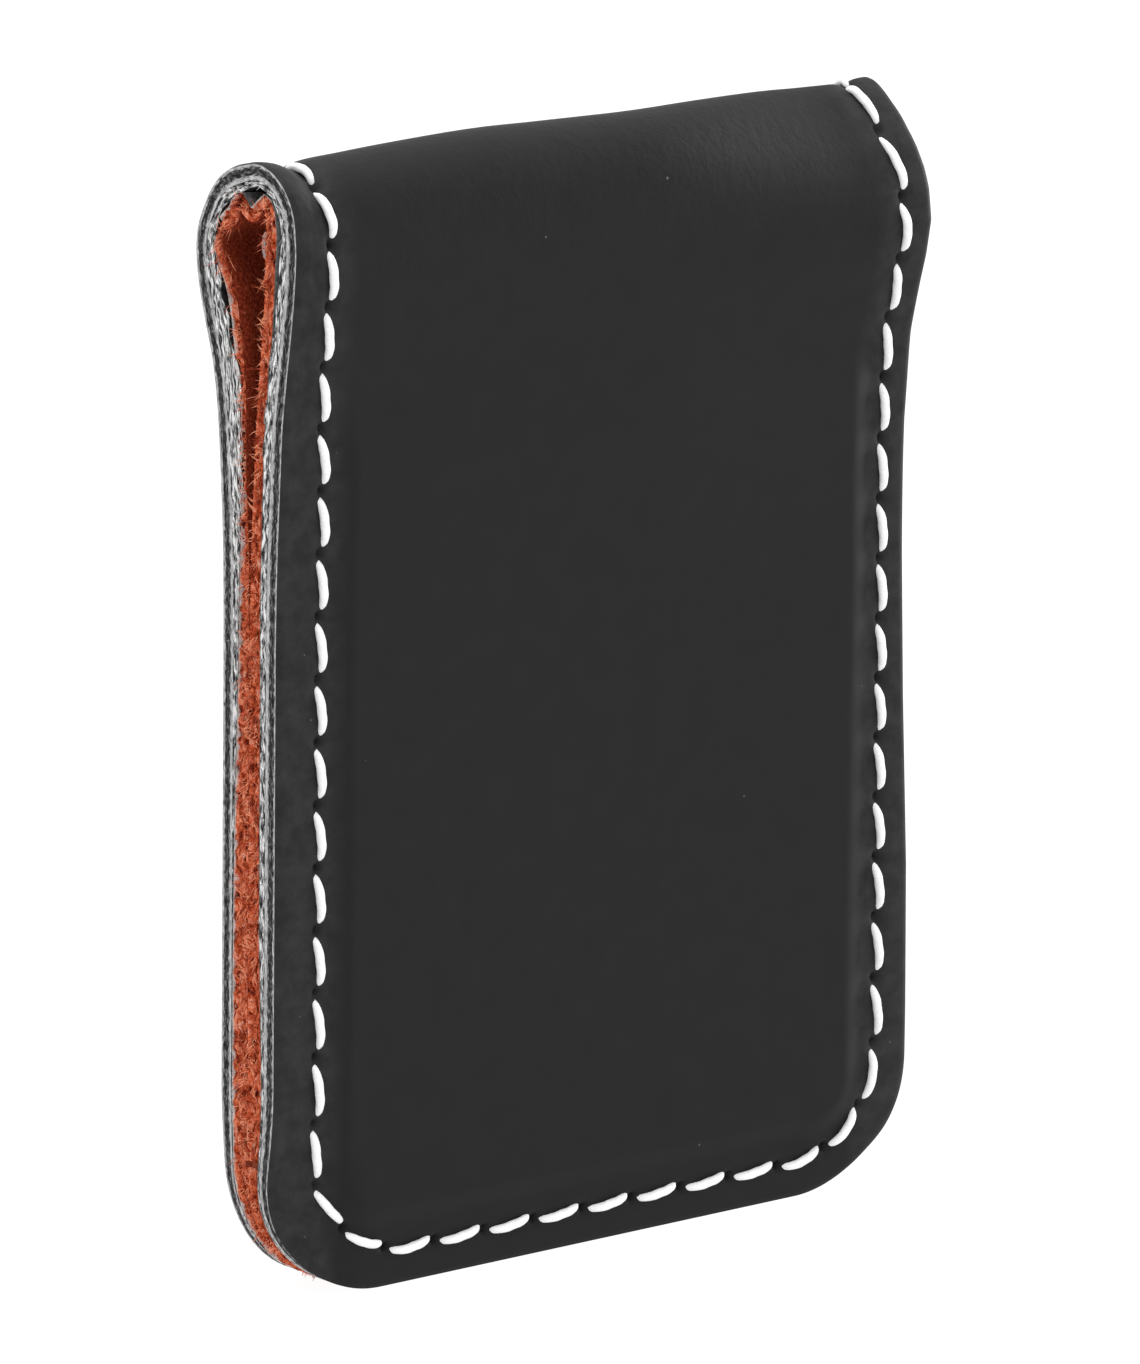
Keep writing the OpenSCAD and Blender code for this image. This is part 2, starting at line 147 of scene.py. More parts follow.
# ---------------------------------------------------------------- profile paths
def spline(points, samples=10):
    """A centripetal Catmull-Rom curve through all but the end points."""
    p = np.array(points, float)
    out = []
    for i in range(1, len(p) - 2):
        q = p[i - 1:i + 3]
        steps = np.sqrt(np.linalg.norm(np.diff(q, axis=0), axis=1))
        t = np.concatenate([[0], np.cumsum(steps)])
        u = t[1] + (t[2] - t[1]) * np.arange(samples)[:, None] / samples
        a1 = (q[0] * (t[1] - u) + q[1] * (u - t[0])) / (t[1] - t[0])
        a2 = (q[1] * (t[2] - u) + q[2] * (u - t[1])) / (t[2] - t[1])
        a3 = (q[2] * (t[3] - u) + q[3] * (u - t[2])) / (t[3] - t[2])
        b1 = (a1 * (t[2] - u) + a2 * (u - t[0])) / (t[2] - t[0])
        b2 = (a2 * (t[3] - u) + a3 * (u - t[1])) / (t[3] - t[1])
        out.append((b1 * (t[2] - u) + b2 * (u - t[1])) / (t[2] - t[1]))
    return np.vstack(out + [p[-2:-1]])


crown_line = spline(CROWN_LIFT)


def hand_made(co):
    """Moves points from the plain swept profile to the uneven fold of the real clip."""
    x, y, z = co.T
    crown = np.interp(x, crown_line[:, 0], crown_line[:, 1]) * smooth(51, 61.5, z)
    rear_left = smooth(-6, -22, x) * smooth(0, 2.5, y) * smooth(44, 49, z)
    high_back = HIGH_BACK * rear_left * (1 - 0.5 * smooth(59, 62, z))
    settle = SETTLE * smooth(15, 48, z) * smooth(-5, 20, x)
    corner = CORNER_DROP * smooth(13, 21, x) * smooth(0, 4, z) * smooth(14, 5, z)
    lean = np.interp(z, LEAN_Z, LEAN) * smooth(2, 20, x) * smooth(4, -3.4, y)
    edge_out = np.interp(z, EDGE_Z, EDGE_OUT) * smooth(19.6, 22.2, x)
    at_left_seam = np.exp(-((x + 19) / 1.8) ** 2)
    drift = SEAM_DRIFT * smooth(42, 56, z) * smooth(1, -3, y) * at_left_seam
    pinch = 1 - PINCH * smooth(12, 3.5, z) * smooth(-16, -21.5, x)
    height = z + crown + high_back - settle - corner
    return np.stack([x - drift + edge_out, y * pinch + lean, height], -1)


class Path:
    """A line in the Y-Z plane, run by its length from the front flap's edge to the rear flap's."""

    def __init__(self, y_flat, curve):
        curve = [(y, CLIP_H - drop) for y, drop in curve]
        knee = CLIP_H - STRAIGHT_DROP
        front = [[-y_flat, 0], [-y_flat, knee]]
        rear = [[y_flat, knee], [y_flat, 0]]
        pts = np.vstack([front, spline(curve), rear])
        run = np.concatenate([[0], np.cumsum(np.linalg.norm(np.diff(pts, axis=0), axis=1))])
        self.length = run[-1]
        self.s = np.linspace(0, self.length, 2400)
        self.y = np.interp(self.s, run, pts[:, 0])
        self.z = np.interp(self.s, run, pts[:, 1])
        # the headings are rounded a little, so that the layers turn smoothly
        kernel = np.hanning(13) / np.hanning(13).sum()
        step = []
        for values in (self.y, self.z):
            rounded = np.convolve(np.pad(values, 6, "edge"), kernel, "valid")
            step.append(np.gradient(rounded, self.s))
        size = np.hypot(*step)
        self.heading_y = step[0] / size
        self.heading_z = step[1] / size

    def place(self, x, s, depth):
        """Points at x and length s, moved by depth towards the inside of the fold."""
        lines = (self.y, self.z, self.heading_y, self.heading_z)
        y, z, hy, hz = (np.interp(s, self.s, line) for line in lines)
        size = np.hypot(hy, hz)
        plain = np.stack([x, y + depth * hz / size + SHIFT_Y, z - depth * hy / size], -1)
        return hand_made(plain)

    def s_at_crown(self, y):
        top = self.z > CLIP_H - 4
        return self.s[top][np.argmin(np.abs(self.y[top] - y))]


def flap_points(side, drops):
    """Points of the lining's middle down one flap."""
    return [(side * (FACE + np.interp(d, *FLARE[side]) - LINING_DEPTH), d) for d in drops]


outer = Path(FACE, PROFILE)
front_line = flap_points(-1, [30, 26, 21, 17, 14])
rear_line = flap_points(1, [16.6, 21, 26, 30])
inner = Path(LINING_Y, front_line + PLEATS + rear_line)
cover_len = outer.length
lining_len = inner.length
crown_s = outer.s_at_crown(-0.6)


def lining_half(s):
    """Half the lining's thickness, less where it is loose inside the fold."""
    drop = CLIP_H - np.minimum(s, lining_len - s)
    return np.interp(drop, [11, 18], [LINING_FOLD_T / 2, LINING_T / 2])


def under(s):
    """Length along the lining under length s of the cover."""
    cover_marks = [0, BEND_Z, cover_len - BEND_Z, cover_len]
    lining_marks = [0, BEND_Z, lining_len - BEND_Z, lining_len]
    return np.interp(s, cover_marks, lining_marks)


def crumple(x, s):
    """Extra thickness of the backing along the cover's path, only at the two cut sides."""
    drop = CLIP_H - np.interp(s, outer.s, outer.z)
    front = np.interp(drop, *CRUMPLE_FRONT)
    rear = np.interp(drop, *CRUMPLE_REAR)
    thick = np.where(s < crown_s, front, rear)
    wave = 1 + 0.22 * np.sin(2.3 * s + 1.1 * np.sin(0.9 * s)) * smooth(24, 8, drop)
    hems = smooth(2, CORNER_R, np.minimum(s, cover_len - s))
    return thick * wave * smooth(20.4, 21.9, np.abs(x)) * hems


# ---------------------------------------------------------------- the seam
HEM_S = SEAM_EDGE + SEAM_R
hem_straight = SEAM_RIGHT_X - SEAM_LEFT_X - 2 * SEAM_R
quarter = math.pi * SEAM_R / 2
hem_len = 2 * quarter + hem_straight
column_len = cover_len - 2 * HEM_S
seam_len = 2 * (hem_len + column_len)
pitch = seam_len / STITCHES
hole_at = SEAM_PHASE + pitch * np.arange(STITCHES)
hole_at[[-2, -1, 0, 1]] += HOLE_WANDER
hole_gap = np.diff(np.append(hole_at, hole_at[0] + seam_len))


def hem_point(v):
    """x, s and heading at length v of the front hem, from the left column to the right."""
    left = v < quarter
    right = v >= quarter + hem_straight
    right_turn = np.where(right, (v - quarter - hem_straight) / SEAM_R, 0)
    turn = np.where(left, v / SEAM_R, right_turn)
    angle = np.where(left, math.pi, 1.5 * math.pi) + turn
    left_x = SEAM_LEFT_X + SEAM_R + SEAM_R * np.cos(angle)
    x = np.where(left, left_x, SEAM_LEFT_X + SEAM_R + v - quarter)
    x = np.where(right, SEAM_RIGHT_X - SEAM_R + SEAM_R * np.cos(angle), x)
    s = np.where(left | right, HEM_S + SEAM_R * np.sin(angle), SEAM_EDGE)
    return x, s, np.where(left | right, angle + math.pi / 2, 2 * math.pi)


def seam_point(u):
    """x, s and heading at length u: front hem, right column, rear hem, left column."""
    u = np.mod(np.asarray(u, float), seam_len)
    rear_start = hem_len + column_len
    left_start = rear_start + hem_len
    front = u < hem_len
    right = (u >= hem_len) & (u < rear_start)
    rear = (u >= rear_start) & (u < left_start)
    left = u >= left_start
    x, s, a = np.zeros((3, *u.shape))
    x[front], s[front], a[front] = hem_point(u[front])
    x[right] = SEAM_RIGHT_X
    s[right] = HEM_S + u[right] - hem_len
    a[right] = math.pi / 2
    hem_x, hem_s, hem_a = hem_point(u[rear] - rear_start)
    x[rear] = SEAM_LEFT_X + SEAM_RIGHT_X - hem_x
    s[rear] = cover_len - hem_s
    a[rear] = hem_a + math.pi
    x[left] = SEAM_LEFT_X
    s[left] = cover_len - HEM_S - (u[left] - left_start)
    a[left] = 1.5 * math.pi
    return x, s, a


# ---------------------------------------------------------------- the strip as a mesh
ARC_N = 48
HEM_N = 140
COLS = 20
SIDE_N = 570
OUTLINE_X = (-CLIP_W / 2, CLIP_W / 2)


def counts(step):
    """Numbers of points on an arc, a hem and a side, in a loop step times coarser."""
    return ARC_N // step, HEM_N // step, SIDE_N // step


def corner_starts(n):
    """Where each corner's arc starts in a loop: front left, front right, rear right, rear left."""
    arc_n, hem_n, side_n = n
    rear_right = 2 * arc_n + hem_n + side_n
    return 0, arc_n + hem_n, rear_right, rear_right + arc_n + hem_n


def loop(x0, x1, s0, s1, r, n):
    """A rounded rectangle in x and s as one closed loop, from the front left corner."""
    arc_n, hem_n, side_n = n
    arc = np.arange(arc_n + 1) / arc_n * math.pi / 2
    hem = np.arange(1, hem_n) / hem_n
    side = np.arange(1, side_n) / side_n
    corners = (
        (x0 + r, s0 + r, math.pi),
        (x1 - r, s0 + r, 1.5 * math.pi),
        (x1 - r, s1 - r, 0),
        (x0 + r, s1 - r, 0.5 * math.pi),
    )
    arcs = [np.stack([cx + r * np.cos(arc + a), cs + r * np.sin(arc + a)], -1)
            for cx, cs, a in corners]
    fl, fr, rr, rl = arcs

    def line(a, b, t):
        return a + (b - a) * t[:, None]

    return np.vstack([fl, line(fl[-1], fr[0], hem), fr, line(fr[-1], rr[0], side),
                      rr, line(rr[-1], rl[0], hem), rl, line(rl[-1], fl[0], side)])


def run_along(outline):
    return np.concatenate([[0], np.cumsum(np.linalg.norm(np.diff(outline, axis=0), axis=1))])


class Sheet:
    """Collects the vertices, faces, UVs and material numbers of one closed sheet."""

    def __init__(self):
        self.co = []
        self.uv_face = []
        self.uv_wall = []
        self.uv_rims = []
        self.faces = []
        self.mats = []
        self.walls = []
        self.n = 0

    def add(self, co, uv_face, uv_wall=None):
        ids = np.arange(len(co)) + self.n
        self.n += len(co)
        self.co.append(co)
        self.uv_face.append(uv_face)
        self.uv_wall.append(uv_face if uv_wall is None else uv_wall)
        return ids

    def face(self, ids, mat, wall, flip):
        """Adds a face, without the corners that a rounded corner's centre repeats."""
        clean = [ids[0]]
        for i in ids[1:]:
            if i != clean[-1]:
                clean.append(i)
        if clean[0] == clean[-1]:
            clean.pop()
        if len(clean) > 2:
            self.faces.append(clean[::-1] if flip else clean)
            self.mats.append(mat)
            self.walls.append(wall)


def sheet_side(sheet, path, curves, stops, n, cols, depth, mat, flip):
    """One side of a sheet: rings through the curves, then rows across the inner rectangle."""
    arc_n, hem_n, side_n = n
    total = len(curves[0])
    rings = []
    for curve, following, ts in zip(curves, curves[1:], stops):
        for t in ts:
            xs = curve + (following - curve) * t
            co = path.place(xs[:, 0], xs[:, 1], depth(xs[:, 0], xs[:, 1]))
            rings.append(sheet.add(co, xs / 10))
    last = rings[-1].copy()
    fl, fr, rr, rl = corner_starts(n)
    for start in (fl, fr, rr, rl):
        last[start:start + arc_n + 1] = last[start]
    rings[-1] = last
    for r0, r1 in zip(rings, rings[1:]):
        n0, n1 = np.roll(r0, -1), np.roll(r1, -1)
        for k in range(total):
            sheet.face([r0[k], n0[k], n1[k], r1[k]], mat, False, flip)

    right_side = [last[fr + arc_n + i] for i in range(1, side_n)]
    left_side = [last[(rl + arc_n + side_n - i) % total] for i in range(1, side_n)]
    front_hem = [last[fl + arc_n + k] for k in range(hem_n + 1)]
    rear_hem = [last[rr + arc_n + k] for k in range(hem_n + 1)][::-1]
    front_hem[0], front_hem[-1] = last[fl], last[fr]
    rear_hem[0], rear_hem[-1] = last[rl], last[rr]
    per = hem_n // cols
    x0, s0 = curves[-1].min(0)
    x1, s1 = curves[-1].max(0)
    x_in = x0 + (x1 - x0) * np.arange(1, cols) / cols
    rows = [front_hem[::per]]
    for i, (left, right) in enumerate(zip(left_side, right_side), 1):
        s = np.full(cols - 1, s0 + (s1 - s0) * i / side_n)
        ids = sheet.add(path.place(x_in, s, depth(x_in, s)), np.stack([x_in, s], -1) / 10)
        rows.append([left, *ids, right])
    rows.append(rear_hem[::per])
    for i in range(side_n):
        for j in range(cols):
            low = rows[i][j:j + 2]
            high = rows[i + 1][j:j + 2][::-1]
            if i == 0:
                low = front_hem[j * per:(j + 1) * per + 1]
            if i == side_n - 1:
                high = rear_hem[j * per:(j + 1) * per + 1][::-1]
            sheet.face([*low, *high], mat, False, flip)
    return rings[0]


def plain_side(sheet, path, outline, n, depth, mat, flip):
    """One side of a sheet that only shows near its edge."""
    s0 = outline[:, 1].min() + CORNER_R
    s1 = outline[:, 1].max() - CORNER_R
    inner_loop = loop(OUTLINE_X[0] + CORNER_R, OUTLINE_X[1] - CORNER_R, s0, s1, 0, n)
    stops = [[0, 0.04, 0.1, 0.2, 0.4, 1]]
    return sheet_side(sheet, path, [outline, inner_loop], stops, n, 10, depth, mat, flip)


def wall(sheet, path, outline, top_ids, top_depth, levels, bottom_ids, mat, fray, zero=0):
    """The cut edge: loops from the top side's outline down to the other side's.

    Its UVs run along the edge and down from the depth zero."""
    run = run_along(outline)
    along = np.roll(outline, -1, 0) - np.roll(outline, 1, 0)
    inward = np.stack([-along[:, 1], along[:, 0]], -1)
    inward /= np.linalg.norm(along, axis=1)[:, None]
    rows = [top_ids]
    sheet.uv_rims.append((top_ids, np.stack([run, top_depth - zero], -1) / 10))
    for d in levels:
        p = outline + inward * (fray * rng.random(len(outline)))[:, None]
        uv = np.stack([run, d - zero], -1) / 10
        rows.append(sheet.add(path.place(p[:, 0], p[:, 1], d), p / 10, uv))
    rows.append(bottom_ids)
    sheet.uv_rims.append((bottom_ids, np.stack([run, levels[-1] + 0.08 - zero], -1) / 10))
    for r0, r1 in zip(rows, rows[1:]):
        n0, n1 = np.roll(r0, -1), np.roll(r1, -1)
        for k in range(len(r0)):
            sheet.face([r0[k], r1[k], n1[k], n0[k]], mat, True, False)


# ---------------------------------------------------------------- pieces across the joints
SPLIT_Z = 57.4
SHARP = math.radians(38)
REGION_NAMES = ["front", "crown", "rear"]
STANDS_FOR = {
    "rear": ["rear_flap"],
    "crown": ["rear_fold", "front_fold"],
    "front": ["front_flap"],
}


def region_of(s, path):
    """0 in front of the fold's front split, 1 over the crown, 2 behind the rear split."""
    high = path.s[path.z > SPLIT_Z]
    return (np.asarray(s) > high[0]).astype(int) + (np.asarray(s) > high[-1])


def finish_piece(o, region, layer):
    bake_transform(o)
    if layer is not None:
        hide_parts(*[f"{body}_{layer}" for body in STANDS_FOR[region]])


def new_mesh(name, co, faces, mats, materials, uvs):
    me = bpy.data.meshes.new(name)
    me.from_pydata((co * 0.001).tolist(), [], faces)
    for m in materials:
        me.materials.append(m)
    me.polygons.foreach_set("material_index", np.array(mats, np.int32))
    me.polygons.foreach_set("use_smooth", np.ones(len(faces), bool))
    layer = me.uv_layers.new(name="Strip")
    layer.data.foreach_set("uv", np.asarray(uvs, np.float32).ravel())
    me.update()
    return me


def put(name, me):
    o = bpy.data.objects.new(name, me)
    bpy.context.scene.collection.objects.link(o)
    return o


def put_loose(regions, suffix, layer, material, axes):
    """Makes one piece per region from many small solids, with UVs in cm along the two axes."""
    for region, (co, faces) in regions.items():
        name = f"{region}_{suffix}"
        co = np.vstack(co)
        flat = np.concatenate([np.array(f) for f in faces])
        uvs = co[flat][:, axes] / 10
        me = new_mesh(name, co, faces, [0] * len(faces), [material], uvs)
        finish_piece(put(name, me), region, layer)


def strip_pieces(sheet, layer, path, materials):
    """Cuts a whole strip into its three pieces, shaded as one strip across the cuts."""
    co = np.vstack(sheet.co)
    uv_face = np.vstack(sheet.uv_face)
    uv_wall = np.vstack(sheet.uv_wall)
    for ids, uv in sheet.uv_rims:
        uv_wall[ids] = uv
    faces = [[int(i) for i in f] for f in sheet.faces]
    sizes = np.array([len(f) for f in faces])
    flat = np.concatenate([np.array(f) for f in faces])
    walls = np.repeat(np.array(sheet.walls), sizes)
    uvs = np.where(walls[:, None], uv_wall[flat], uv_face[flat])
    whole = new_mesh("whole", co, faces, sheet.mats, materials, uvs)
    whole.set_sharp_from_angle(angle=SHARP)
    normals = np.zeros(len(flat) * 3, np.float32)
    whole.corner_normals.foreach_get("vector", normals)
    normals = normals.reshape(-1, 3)
    starts = np.concatenate([[0], np.cumsum(sizes)])
    face_s = np.add.reduceat(uv_face[flat][:, 1] * 10, starts[:-1]) / sizes
    region = region_of(face_s, path)
    for k, name in enumerate(REGION_NAMES):
        chosen = np.flatnonzero(region == k)
        part = [faces[i] for i in chosen]
        corners = np.concatenate([np.arange(starts[i], starts[i + 1]) for i in chosen])
        used = sorted({i for f in part for i in f})
        index = {v: i for i, v in enumerate(used)}
        part = [[index[i] for i in f] for f in part]
        mats = [sheet.mats[i] for i in chosen]
        me = new_mesh(f"{name}_{layer}", co[used], part, mats, materials, uvs[corners])
        me.normals_split_custom_set(normals[corners].tolist())
        finish_piece(put(f"{name}_{layer}", me), name, layer)
    bpy.data.meshes.remove(whole)


# ---------------------------------------------------------------- materials
def greys(*stops):
    return [(at, (v, v, v)) for at, v in stops]


PANEL_TONES = greys((0.3, 0.0088), (0.7, 0.0103))
BORDER_TONES = greys((0.35, 0.0125), (0.7, 0.028))
DUST = (0.13, 0.13, 0.13)
CUT_LIGHT = greys((0.35, 0.22), (0.65, 0.62))
CUT_DARK = greys((0.4, 0.01), (0.54, 0.05), (0.65, 0.22))
# light at the top for the skin film and for a painted highlight where the edge's top catches the
# light, then dark core, then light flesh side
CUT_BANDS_WITH_HIGHLIGHT = greys((0.0, 1), (0.2, 1), (0.3, 0), (0.68, 0), (0.78, 1))
# the backing's own light grey, and near-black streaks that are painted shade in the creases of the
# crumpled sheet
STRANDS_AND_CREASE_SHADE = greys((0.4, 0.01), (0.47, 0.14), (0.53, 0.5), (0.59, 0.9))
SUEDE_BACK = [(0.3, (0.3, 0.28, 0.26)), (0.6, (0.75, 0.72, 0.7))]
NAP_FACE = [(0.3, (0.09, 0.009, 0.003)), (0.5, (0.27, 0.034, 0.012)), (0.72, (0.5, 0.1, 0.045))]
# orange of the cut nap, with painted shadow between the tufts at the dark end and painted highlight at
# the light end
NAP_CUT_WITH_TUFT_SHADING = [
    (0.36, (0.06, 0.005, 0.002)), (0.45, (0.4, 0.055, 0.016)),
    (0.54, (0.85, 0.19, 0.08)), (0.65, (1.0, 0.52, 0.38)),
]
# orange of the loose fibres, with painted shadow at the dark end and painted highlight at the light
# end
FIBRES_WITH_PAINTED_LIGHT = [(0.35, (0.16, 0.013, 0.004)), (0.46, (0.65, 0.11, 0.04)), (0.58, (1.0, 0.4, 0.23))]
THREAD = greys((0.3, 0.9), (0.6, 0.98))


class Nodes:
    """A material being built, with its pattern laid by the Strip UVs, which are in cm."""

    def __init__(self, name):
        self.mat = bpy.data.materials.new(name)
        self.mat.use_nodes = True
        self.tree = self.mat.node_tree
        self.shader = self.tree.nodes["Principled BSDF"]
        uv = self.node("ShaderNodeUVMap")
        uv.uv_map = "Strip"
        self.uv = uv.outputs["UV"]

    def set(self, n, key, value):
        if isinstance(value, bpy.types.NodeSocket):
            self.tree.links.new(value, n.inputs[key])
        else:
            n.inputs[key].default_value = value

    def node(self, kind, **inputs):
        n = self.tree.nodes.new(kind)
        for key, value in inputs.items():
            self.set(n, key.replace("_", " "), value)
        return n

    def axis(self, vector, k):
        return self.node("ShaderNodeSeparateXYZ", Vector=vector).outputs[k]

    def noise(self, scale, detail=2.0, rough=0.5, stretch=None, turn=0.0):
        at = self.uv
        if stretch:
            turned = (0, 0, turn)
            at = self.node("ShaderNodeMapping", Vector=at, Scale=stretch, Rotation=turned).outputs[0]
        n = self.node("ShaderNodeTexNoise", Vector=at, Scale=scale, Detail=detail, Roughness=rough)
        return n.outputs[0]

    def specks(self, scale, size, channel, share):
        """1 in small spots, one in each Voronoi cell whose random channel is over share."""
        cell = self.node("ShaderNodeTexVoronoi", Vector=self.uv, Scale=scale)
        chosen = self.math("GREATER_THAN", self.axis(cell.outputs["Color"], channel), share)
        small = self.math("LESS_THAN", cell.outputs["Distance"], size)
        return self.math("MULTIPLY", small, chosen)

    def ramp(self, value, stops):
        n = self.node("ShaderNodeValToRGB", Fac=value)
        r = n.color_ramp
        r.elements.remove(r.elements[0])
        r.elements[0].position = stops[0][0]
        r.elements[0].color = (*stops[0][1], 1)
        for at, colour in stops[1:]:
            r.elements.new(at).color = (*colour, 1)
        return n.outputs[0]

    def mix(self, factor, a, b):
        n = self.tree.nodes.new("ShaderNodeMix")
        n.data_type = "RGBA"
        self.set(n, 0, factor)
        for key, colour in ((6, a), (7, b)):
            socket = isinstance(colour, bpy.types.NodeSocket)
            self.set(n, key, colour if socket else (*colour, 1))
        return n.outputs[2]

    def math(self, kind, a, b=0.0):
        n = self.tree.nodes.new("ShaderNodeMath")
        n.operation = kind
        self.set(n, 0, a)
        self.set(n, 1, b)
        return n.outputs[0]

    def ragged(self, scale, stretch, amount):
        """A wander about nothing, by which the bands of a cut edge stray."""
        off = self.math("SUBTRACT", self.noise(scale, 3, stretch=stretch), 0.5)
        return self.math("MULTIPLY", off, amount)

    def depth(self):
        """Depth below the start of a cut edge, in mm."""
        return self.math("MULTIPLY", self.axis(self.uv, 1), 10.0)

    def bump(self, height, distance, strength=1.0):
        n = self.node("ShaderNodeBump", Height=height, Distance=distance, Strength=strength)
        self.tree.links.new(n.outputs[0], self.shader.inputs["Normal"])

    def finish(self, colour, roughness, specular):
        self.set(self.shader, "Base Color", colour)
        self.set(self.shader, "Roughness", roughness)
        self.set(self.shader, "Specular IOR Level", specular)
        return self.mat


def leather():
    """Charcoal leather, dustier outside the panel and creased over the crown."""
    n = Nodes("charcoal_leather")
    panel = n.ramp(n.noise(5, 2), PANEL_TONES)
    border = n.ramp(n.noise(8, 4, 0.65), BORDER_TONES)
    middle = (PANEL_LEFT + PANEL_RIGHT) / 20
    off_middle = n.math("ABSOLUTE", n.math("SUBTRACT", n.axis(n.uv, 0), middle))
    past_panel = n.math("MULTIPLY", n.math("SUBTRACT", off_middle, CLEAN_HALF), DUST_RATE)
    outside = n.node("ShaderNodeClamp", Value=past_panel).outputs[0]
    tone = n.mix(outside, panel, border)
    dust = n.specks(2.6, 0.022, 0, 0.62)
    lint = n.math("MULTIPLY", n.specks(11.0, 0.05, 1, 0.82), outside)
    colour = n.mix(n.math("MAXIMUM", dust, lint), tone, DUST)
    off_crown = n.math("ABSOLUTE", n.math("SUBTRACT", n.axis(n.uv, 1), crown_s / 10))
    near_crown = n.math("SUBTRACT", CREASED_HALF, off_crown)
    creased = n.math("MULTIPLY", near_crown, n.noise(13, 4, 0.6))
    pores = n.math("MULTIPLY", n.noise(120, 3), 0.12)
    n.bump(n.math("ADD", pores, n.math("MAXIMUM", creased)), 0.00008, 0.6)
    return n.finish(colour, 0.6, 0.17)


def cover_cut():
    """The leather's cut edge: light skin band, partly a painted highlight where its top catches the
    light, dark core, light flesh side.
    """
    n = Nodes("cover_cut_edge")
    depth = n.math("ADD", n.depth(), n.ragged(22, (1, 6, 1), 0.5))
    fibres = n.noise(66, 3, 0.7, stretch=(0.3, 1, 1))
    n.bump(fibres, 0.0001, 0.8)
    light = n.ramp(fibres, CUT_LIGHT)
    return n.finish(n.mix(n.ramp(depth, CUT_BANDS_WITH_HIGHLIGHT), n.ramp(fibres, CUT_DARK), light), 0.9, 0.1)


def backing_edge():
    n = Nodes("backing_sheet")
    crease_pattern = n.noise(75, 4, 0.7, stretch=(0.16, 1, 1))
    n.bump(crease_pattern, 0.0001, 0.7)
    # the dark streaks of this ramp are painted shade in the backing's creases
    return n.finish(n.ramp(crease_pattern, STRANDS_AND_CREASE_SHADE), 0.9, 0.1)


def suede():
    n = Nodes("orange_suede")
    nap = n.noise(55, 4, 0.65)
    n.bump(nap, 0.0002)
    return n.finish(n.ramp(nap, NAP_FACE), 0.95, 0.1)


def suede_cut():
    """The suede's cut edge: tufts of nap, with their shadows and highlights painted into the orange,
    and a thin pale line against the backing.
    """
    n = Nodes("suede_cut_edge")
    nap = n.noise(26, 5, 0.7, stretch=(0.55, 1.5, 1), turn=0.5)
    n.bump(nap, 0.0004)
    depth = n.math("ADD", n.depth(), n.ragged(25, (1, 5, 1), 0.3))
    back = n.ramp(depth, greys((0.03, 1), (0.09, 0)))
    return n.finish(n.mix(back, n.ramp(nap, NAP_CUT_WITH_TUFT_SHADING), n.ramp(nap, SUEDE_BACK)), 0.95, 0.1)


def suede_fibres():
    n = Nodes("suede_fibres")
    clump_shading = n.noise(17, 2, 0.6, stretch=(1, 0.6, 1), turn=0.6)
    # the fibres' colour carries painted highlights and shadows, clump by clump
    return n.finish(n.ramp(clump_shading, FIBRES_WITH_PAINTED_LIGHT), 0.8, 0.2)


def white_thread():
    n = Nodes("white_thread")
    return n.finish(n.ramp(n.noise(80, 2), THREAD), 0.6, 0.3)


def shaded_gap_sheet(name, low, high):
    """The faces of a sheet between the layers, seen only where the fold gapes, painted darker than the
    sheet as the shade in those gaps.
    """
    n = Nodes(name)
    return n.finish(n.ramp(n.noise(30, 3, 0.6), greys((0.35, low), (0.65, high))), 0.95, 0.1)


def core_material(name, colour, metal, rough):
    """The boards and magnets inside the flaps."""
    n = Nodes(name)
    shade = [(0.3, tuple(c * 0.85 for c in colour)), (0.7, colour)]
    n.set(n.shader, "Metallic", metal)
    return n.finish(n.ramp(n.noise(3), shade), rough, 0.5)


# ---------------------------------------------------------------- the three layers
def box_distance(x, s, x0, x1, s0, s1, r):
    """Signed distance to a rounded rectangle, less than nothing inside it."""
    qx = np.abs(x - (x0 + x1) / 2) - (x1 - x0) / 2 + r
    qs = np.abs(s - (s0 + s1) / 2) - (s1 - s0) / 2 + r
    past = np.hypot(np.maximum(qx, 0), np.maximum(qs, 0))
    return past + np.minimum(np.maximum(qx, qs), 0) - r


hole_x, hole_s, _ = seam_point(hole_at)


def cover_relief(x, s):
    """How far the outer face stands out from the smooth path."""
    near_end = np.minimum(s, cover_len - s)
    seam = box_distance(x, s, SEAM_LEFT_X, SEAM_RIGHT_X, SEAM_EDGE, cover_len - SEAM_EDGE, SEAM_R)
    edge = box_distance(x, s, *OUTLINE_X, 0, cover_len, CORNER_R)
    panel = box_distance(x, near_end, PANEL_LEFT, PANEL_RIGHT, PANEL_END, 60, PANEL_R)
    # the panel stands out, the thread's line sinks in, and the cut edge is rounded
    h = PANEL_RISE * smooth(0.8, -0.9, panel) * (1 - smooth(45, 51, near_end))
    h -= 0.07 * np.exp(-(seam / 0.45) ** 2)
    h -= 0.12 * smooth(-0.3, 0.05, edge)
    # over the crown the tight seams dent the cover
    crown = np.exp(-((s - crown_s) / 8) ** 2)
    for column_x in (SEAM_LEFT_X, SEAM_RIGHT_X):
        h -= crown * 0.1 * np.exp(-((x - column_x) / 0.5) ** 2)
    # a funnel round each hole
    for hx, hs in zip(hole_x, hole_s):
        near = np.flatnonzero((np.abs(x - hx) < 1) & (np.abs(s - hs) < 1))
        h[near] -= 0.5 * np.exp(-((x[near] - hx) ** 2 + (s[near] - hs) ** 2) / 0.06)
    return h


